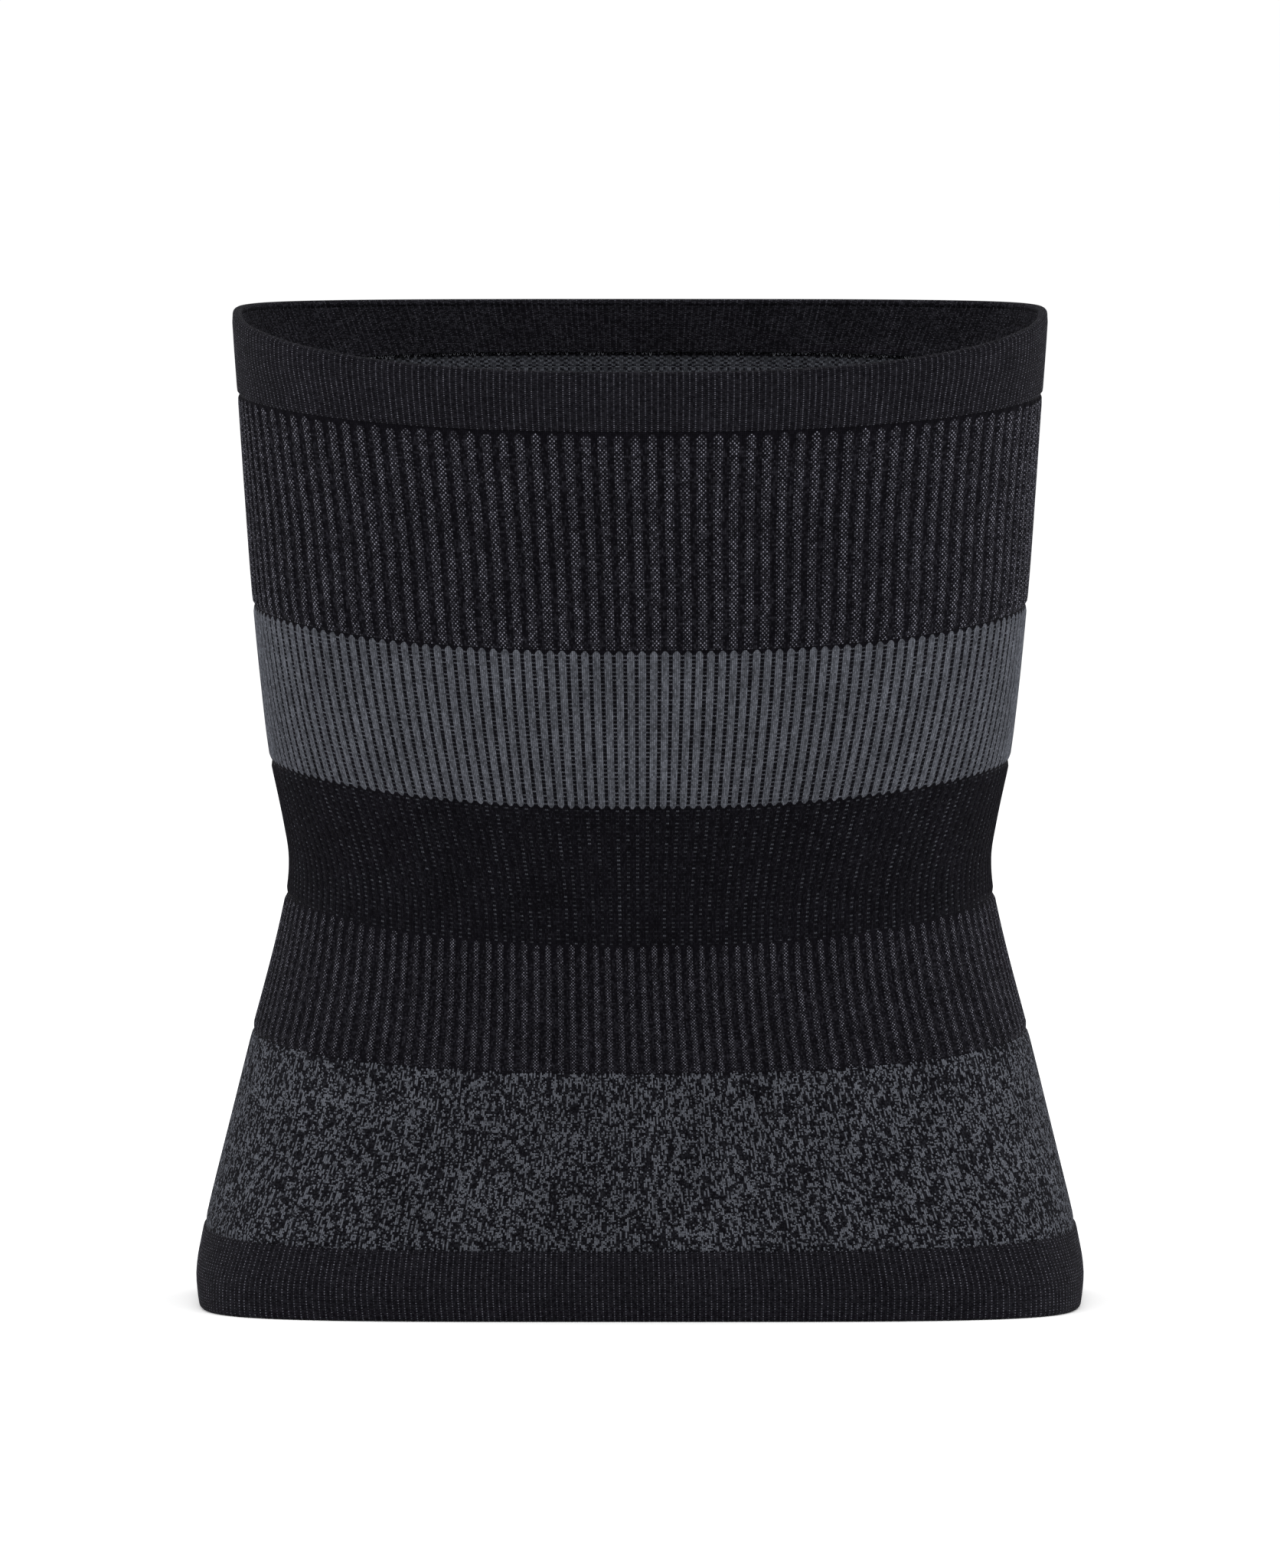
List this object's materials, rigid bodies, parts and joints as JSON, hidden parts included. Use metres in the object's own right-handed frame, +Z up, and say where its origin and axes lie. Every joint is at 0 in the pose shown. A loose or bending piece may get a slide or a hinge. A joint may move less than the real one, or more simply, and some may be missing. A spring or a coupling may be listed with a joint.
{
  "type": "knitted waist warmer",
  "caption": "Seamless ribbed knit tube worn round the waist, with turned hems, a waisted shape and knit zones.",
  "frame": {"origin": "middle of the flat ring that the lower hem stands on", "axes": "+Z up the body, -Y the wearer's front, X from side to side"},
  "size_m": [0.2979, 0.1886, 0.333],
  "materials": {
    "hem_charcoal": "matt charcoal knit with fine dotted columns",
    "hem_black": "matt black knit, inner ply",
    "loop_yarn": "grey linking yarn",
    "elastic": "bare elastane yarn",
    "rib_charcoal": "black and charcoal ribbed knit",
    "rib_grey": "mid grey ribbed knit, black in its grooves",
    "rib_black": "black narrow ribbed knit",
    "melange": "random black and grey stitches"
  },
  "bodies": {
    "root": {"top_hem_outer_ply": "hem_charcoal", "top_hem_inner_ply": "hem_black", "top_hem_closing_loops": "loop_yarn", "top_hem_elastic": "elastic", "upper_rib_panel": "rib_charcoal", "grey_rib_panel": "rib_grey", "waist_panel": "rib_black", "lower_rib_panel": "rib_charcoal", "melange_panel": "melange", "bottom_hem_outer_ply": "hem_charcoal", "bottom_hem_inner_ply": "hem_black", "bottom_hem_closing_loops": "loop_yarn", "bottom_hem_elastic": "elastic"}
  },
  "joints": []
}
